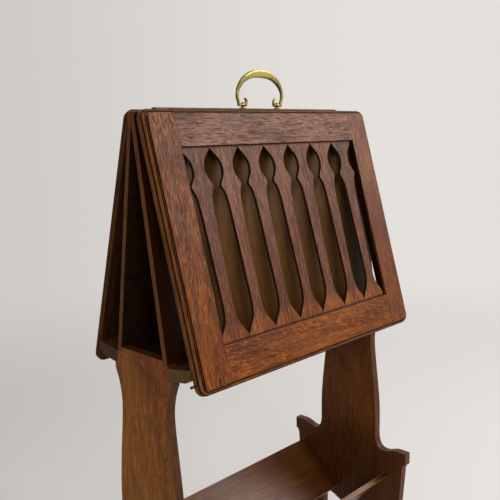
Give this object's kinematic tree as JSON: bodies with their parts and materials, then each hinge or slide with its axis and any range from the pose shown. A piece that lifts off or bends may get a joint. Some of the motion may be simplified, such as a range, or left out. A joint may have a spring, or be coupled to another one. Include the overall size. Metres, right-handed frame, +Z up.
{
  "type": "atlas stand",
  "caption": "Double-sided oak atlas stand: shaped plank supports, hinged slatted flaps over sloping dividers, open V trough below and a brass carrying handle on the ridge.",
  "frame": {"origin": "centre of the footprint on the floor", "axes": "+X along the stand to the right end, +Y to the back, +Z up"},
  "size_m": [0.528, 0.278, 0.9754],
  "materials": {
    "oak_frame": "waxed quarter-sawn oak",
    "oak_dark": "dark waxed oak",
    "oak_slat": "waxed oak",
    "oak_peg": "reddish end grain",
    "aged_brass": "aged, worn bright on the edges",
    "black_steel": "blackened"
  },
  "bodies": {
    "stand": {"back_divider": "oak_dark", "back_ledge": "oak_dark", "back_left_hinge_pin": "aged_brass", "back_left_hinge_ridge_leaf": "aged_brass", "back_right_hinge_pin": "aged_brass", "back_right_hinge_ridge_leaf": "aged_brass", "front_divider": "oak_dark", "front_ledge": "oak_dark", "front_left_hinge_pin": "aged_brass", "front_left_hinge_ridge_leaf": "aged_brass", "front_right_hinge_pin": "aged_brass", "front_right_hinge_ridge_leaf": "aged_brass", "left_back_peg": "oak_peg", "left_front_peg": "oak_peg", "left_handle_post": "aged_brass", "left_middle_peg": "oak_peg", "left_support": "oak_dark", "platform_board": "oak_dark", "ridge_cap": "oak_frame", "right_back_peg": "oak_peg", "right_front_peg": "oak_peg", "right_handle_post": "aged_brass", "right_middle_peg": "oak_peg", "right_support": "oak_dark", "trough_back_board": "oak_dark", "trough_front_board": "oak_dark"},
    "front_flap": {"front_flap_bottom_rail": "oak_frame", "front_flap_catch_pin": "black_steel", "front_flap_left_stile": "oak_frame", "front_flap_right_stile": "oak_frame", "front_flap_slat_1": "oak_slat", "front_flap_slat_2": "oak_slat", "front_flap_slat_3": "oak_slat", "front_flap_slat_4": "oak_slat", "front_flap_slat_5": "oak_slat", "front_flap_slat_6": "oak_slat", "front_flap_slat_7": "oak_slat", "front_flap_top_rail": "oak_frame", "front_left_hinge_flap_leaf": "aged_brass", "front_right_hinge_flap_leaf": "aged_brass"},
    "back_flap": {"back_flap_bottom_rail": "oak_frame", "back_flap_catch_pin": "black_steel", "back_flap_left_stile": "oak_frame", "back_flap_right_stile": "oak_frame", "back_flap_slat_1": "oak_slat", "back_flap_slat_2": "oak_slat", "back_flap_slat_3": "oak_slat", "back_flap_slat_4": "oak_slat", "back_flap_slat_5": "oak_slat", "back_flap_slat_6": "oak_slat", "back_flap_slat_7": "oak_slat", "back_flap_top_rail": "oak_frame", "back_left_hinge_flap_leaf": "aged_brass", "back_right_hinge_flap_leaf": "aged_brass"},
    "handle": {"handle_bail": "aged_brass"}
  },
  "joints": [
    {"name": "front_flap_hinge", "type": "hinge", "parent": "stand", "child": "front_flap", "pos_m": [0, -0.01003, 0.90743], "axis": [-1, 0, 0], "range_deg": [0, 70]},
    {"name": "back_flap_hinge", "type": "hinge", "parent": "stand", "child": "back_flap", "pos_m": [0, 0.01003, 0.90743], "axis": [1, 0, 0], "range_deg": [0, 70]},
    {"name": "handle_swing", "type": "hinge", "parent": "stand", "child": "handle", "pos_m": [0, 0, 0.9196], "axis": [1, 0, 0], "range_deg": [-65, 65]}
  ]
}
